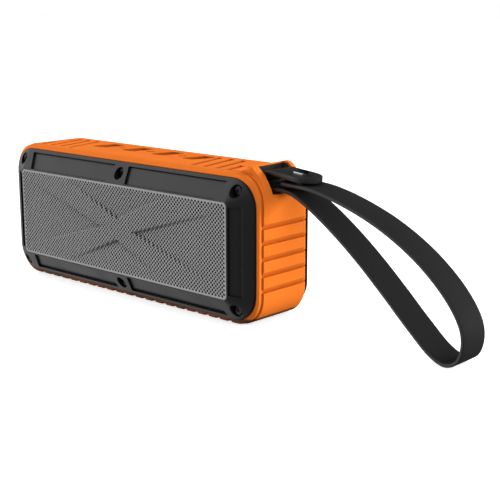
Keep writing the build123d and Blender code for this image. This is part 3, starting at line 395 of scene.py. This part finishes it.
# ---- grille -------------------------------------------------------------------------------
def pressed_depth(x, z):
    """How deep the grille's face is pressed in at a point, in millimetres."""
    for tip, far_a, far_b in SECTORS:
        ax, az = far_a[0] - tip[0], far_a[1] - tip[1]
        bx, bz = far_b[0] - tip[0], far_b[1] - tip[1]
        px, pz = x - tip[0], z - tip[1]
        area = ax * bz - az * bx
        along_a = (px * bz - pz * bx) / area
        along_b = (ax * pz - az * px) / area
        if along_a > 0 and along_b > 0 and along_a + along_b < 1:
            length_a = math.hypot(ax, az)
            length_b = math.hypot(bx, bz)
            from_b = along_a * abs(area) / length_b
            from_a = along_b * abs(area) / length_a
            rise = min(1.0, min(from_a, from_b) / SECTOR_STEP)
            return SECTOR_DEPTH * (1 - along_a - along_b) * rise * rise * (3 - 2 * rise)
    return 0.0


class Sheet:
    """Collects points and faces and joins points that share a place."""

    def __init__(self):
        self.points = []
        self.faces = []
        self.index = {}

    def point(self, x, y, z):
        key = (round(x, 4), round(y, 4), round(z, 4))
        if key not in self.index:
            self.index[key] = len(self.points)
            self.points.append((x * MM, y * MM, z * MM))
        return self.index[key]

    def front(self, x, z, back=0.0):
        return self.point(x, FACE_Y + pressed_depth(x, z) + back, MID_Z + z)


def on_sheet(x, z):
    """Whether a point belongs to the lattice of holes, its edge included."""
    return abs(x) < LATTICE_HALF[0] + LATTICE_SLACK and abs(z) < LATTICE_HALF[1] + LATTICE_SLACK


def rounded_place(x, z, half_x, half_z, corner):
    """A point of the lattice's edge moved out onto a rounded rectangle."""
    x *= half_x / LATTICE_HALF[0]
    z *= half_z / LATTICE_HALF[1]
    core_x = max(-half_x + corner, min(half_x - corner, x))
    core_z = max(-half_z + corner, min(half_z - corner, z))
    dx, dz = x - core_x, z - core_z
    reach = math.hypot(dx, dz)
    if dx and dz and reach > corner:
        return core_x + dx / reach * corner, core_z + dz / reach * corner
    return x, z


def split_sides(corners):
    """A polygon's corners, with each side cut into equal steps."""
    places = []
    for (ax, az), (bx, bz) in zip(corners, corners[1:] + corners[:1]):
        for step in range(SIDE_STEPS):
            places.append((ax + (bx - ax) * step / SIDE_STEPS, az + (bz - az) * step / SIDE_STEPS))
    return places


def holed_cell(sheet, boundary, centre_x, centre_z):
    """One diamond of the sheet round its hole, with the hole's wall."""
    outer = [sheet.front(x, z) for x, z in boundary]
    rim = []
    wall = []
    for step in range(len(outer)):
        angle = 2 * math.pi * step / len(outer)
        x = centre_x + HOLE_R * math.cos(angle)
        z = centre_z + HOLE_R * math.sin(angle)
        rim.append(sheet.front(x, z))
        wall.append(sheet.front(x, z, HOLE_DEPTH))
    for step in range(len(outer)):
        after = (step + 1) % len(outer)
        sheet.faces.append([outer[step], outer[after], rim[after], rim[step]])
        sheet.faces.append([rim[step], rim[after], wall[after], wall[step]])


def lattice_edge():
    """The points along the lattice's outline, once round."""
    edge_x, edge_z = LATTICE_HALF
    rows = [-edge_z + step * HOLE_PITCH for step in range(ROWS)]
    columns = [-edge_x + step * HOLE_PITCH for step in range(COLUMNS)]
    corners = [(x, -edge_z) for x in columns] + [(edge_x, z) for z in rows]
    corners += [(-x, edge_z) for x in columns] + [(-edge_x, -z) for z in rows]
    return split_sides(corners)


def perforated_grille(material):
    """The perforated sheet: holes in diamond cells, and a rolled edge with a flange."""
    sheet = Sheet()
    half = HOLE_PITCH / 2
    edge_x, edge_z = LATTICE_HALF
    for column in range(2 * COLUMNS + 1):
        for row in range((column + 1) % 2, 2 * ROWS + 1, 2):
            x = column * half - edge_x
            z = row * half - edge_z
            corners = [(x + half, z), (x, z + half), (x - half, z), (x, z - half)]
            inside = [place for place in corners if on_sheet(*place)]
            boundary = split_sides(inside)
            if len(inside) == len(corners):
                holed_cell(sheet, boundary, x, z)
            else:
                sheet.faces.append([sheet.front(*place) for place in boundary])
    edge = lattice_edge()
    half_x, half_z = GRILLE_HALF
    rings = [[sheet.front(x, z) for x, z in edge]]
    for inset, depth in EDGE_ROLL:
        places = [rounded_place(x, z, half_x - inset, half_z - inset, GRILLE_CORNER) for x, z in edge]
        rings.append([sheet.point(x, FACE_Y + depth, MID_Z + z) for x, z in places])
    for inner, outer in zip(rings, rings[1:]):
        for step in range(len(edge)):
            after = (step + 1) % len(edge)
            sheet.faces.append([inner[step], outer[step], outer[after], inner[after]])
    piece = make_mesh_object("grille_sheet", sheet.points, sheet.faces, material)
    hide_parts("front_grille")
    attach(piece, "speaker")


# ---- strap --------------------------------------------------------------------------------
def strap_line():
    """The band's centre line in XZ: tab tip, turn round the bar, loop, and the end under the tab."""
    points = list(STRAP_TAB)
    for step in range(WRAP_STEPS + 1):
        angle = math.pi / 2 + math.pi * step / WRAP_STEPS
        points.append((WRAP_X + WRAP_R * math.cos(angle), WRAP_Z + WRAP_R * math.sin(angle)))
    points += STRAP_LOOP
    return [Vector(point) for point in points]


def smooth_line(points, spacing):
    """A centripetal Catmull-Rom curve through the points, sampled about every spacing."""
    padded = [2 * points[0] - points[1], *points, 2 * points[-1] - points[-2]]
    line = []
    for p0, p1, p2, p3 in zip(padded, padded[1:], padded[2:], padded[3:]):
        t0 = 0.0
        t1 = t0 + (p1 - p0).length ** 0.5
        t2 = t1 + (p2 - p1).length ** 0.5
        t3 = t2 + (p3 - p2).length ** 0.5
        count = max(2, round((p2 - p1).length / spacing))
        for step in range(count):
            t = t1 + (t2 - t1) * step / count
            a1 = p0.lerp(p1, (t - t0) / (t1 - t0))
            a2 = p1.lerp(p2, (t - t1) / (t2 - t1))
            a3 = p2.lerp(p3, (t - t2) / (t3 - t2))
            b1 = a1.lerp(a2, (t - t0) / (t2 - t0))
            b2 = a2.lerp(a3, (t - t1) / (t3 - t1))
            line.append(b1.lerp(b2, (t - t1) / (t2 - t1)))
    line.append(points[-1])
    return line


def band_section(half_width, above, below, round_r):
    """A band's cross-section as (across, up) points, with rounded corners."""
    places = []
    corners = ((1, above, 0), (-1, above, 90), (-1, -below, 180), (1, -below, 270))
    for side, level, start in corners:
        centre_across = side * (half_width - round_r)
        centre_up = level - math.copysign(round_r, level)
        for step in range(BAND_CORNER_STEPS + 1):
            angle = math.radians(start + 90 * step / BAND_CORNER_STEPS)
            across = centre_across + round_r * math.cos(angle)
            places.append((across, centre_up + round_r * math.sin(angle)))
    return places


def rubber_band(material):
    """The wrist strap: one moulded band, its folded tab thicker and rounded at the tip."""
    line = smooth_line(strap_line(), STRAP_SPACING)
    half = STRAP_WIDTH / 2
    travelled = 0.0
    points = []
    rings = []
    for step, here in enumerate(line):
        before = line[max(0, step - 1)]
        after = line[min(len(line) - 1, step + 1)]
        tangent = (after - before).normalized()
        up = Vector((tangent.y, -tangent.x))
        if step:
            travelled += (here - line[step - 1]).length
        from_tip = max(half - travelled, 0.0)
        width = math.sqrt(max(half * half - from_tip * from_tip, 0.0)) if from_tip else half
        width = max(width, TIP_HALF)
        folded = TAB_EXTRA * math.sqrt(max(0.0, 1.0 - travelled / TAB_LENGTH))
        section = band_section(width, STRAP_T / 2, STRAP_T / 2 + folded, STRAP_EDGE_R)
        ring = []
        for across, level in section:
            ring.append(len(points))
            place = (here.x + up.x * level, STRAP_MIDDLE_Y + across, here.y + up.y * level)
            points.append([value * MM for value in place])
        rings.append(ring)
    faces = [list(reversed(rings[0])), rings[-1]]
    for first, second in zip(rings, rings[1:]):
        for step in range(len(first)):
            after = (step + 1) % len(first)
            faces.append([first[step], first[after], second[after], second[step]])
    piece = make_mesh_object("wrist_band", points, faces, material)
    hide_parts("strap_band")
    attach(piece, "strap")


# ---- studio -------------------------------------------------------------------------------
def make_floor():
    tree = Tree("studio_floor")
    tone = tree.spread(tree.noise(*FLOOR_NOISE), 0.0, 1.0, 0.0, 1.0)
    colour = tree.mix(tone, *FLOOR_TONES)
    rough = tree.spread(tone, 0.0, 1.0, *FLOOR_ROUGHNESS)
    normal = tree.add("ShaderNodeNewGeometry").outputs["Normal"]
    glow = {"Emission_Color": WHITE, "Emission_Strength": FLOOR_GLOW}
    material = tree.finish(colour, rough, normal, **glow)
    half = FLOOR_HALF
    outline = ((-half, -half), (half, -half), (half, half), (-half, half))
    corners = [(x, y, -FLOOR_DROP) for x, y in outline]
    floor = make_mesh_object("studio_floor", corners, [[0, 1, 2, 3]], material, smooth=False)
    floor.visible_glossy = False
    floor.visible_diffuse = False


def make_world():
    """White behind the object, soft light from above, and a softbox seen only in reflections."""
    world = bpy.data.worlds.new("studio")
    bpy.context.scene.world = world
    tree = Nodes(world)
    direction = tree.add("ShaderNodeTexCoord").outputs["Generated"]
    towards = tree.add("ShaderNodeSeparateXYZ", {0: direction}).outputs
    softbox = 1.0
    for axis, start, end in SOFTBOX_FADES:
        softbox = tree.multiply(softbox, tree.spread(towards[axis], start, end, 1.0, 0.0))
    reflected = tree.spread(softbox, 0.0, 1.0, SOFTBOX_DIM, SOFTBOX_BRIGHT)
    ambient = tree.spread(towards["Z"], *AMBIENT_FADE, AMBIENT_BELOW, AMBIENT)
    rays = tree.add("ShaderNodeLightPath").outputs
    strength = tree.blend(rays["Is Glossy Ray"], ambient, reflected)
    strength = tree.blend(rays["Is Camera Ray"], strength, 1.0)
    background = tree.nodes["Background"]
    tree.links.new(strength, background.inputs["Strength"])
    background.inputs["Color"].default_value = WHITE


def make_suns():
    for name, towards, energy, spread in SUNS:
        data = bpy.data.lights.new(name, "SUN")
        data.energy = energy
        data.angle = math.radians(spread)
        sun = bpy.data.objects.new(name, data)
        sun.rotation_euler = Vector(towards).to_track_quat("Z", "Y").to_euler()
        sun.visible_glossy = False
        bpy.context.scene.collection.objects.link(sun)


def dress_nodes(materials):
    slots = {entry["node"]: entry["material_slot"] for entry in frame["record"]["subparts"]}
    for name, node in frame["nodes"].items():
        for slot in node.material_slots:
            slot.material = materials[slots[name]]


place_camera()
materials = make_materials()
dress_nodes(materials)
perforated_grille(materials["grille_metal"])
rubber_band(materials["strap_rubber"])
make_floor()
make_world()
make_suns()
bpy.context.scene.view_settings.view_transform = "Standard"
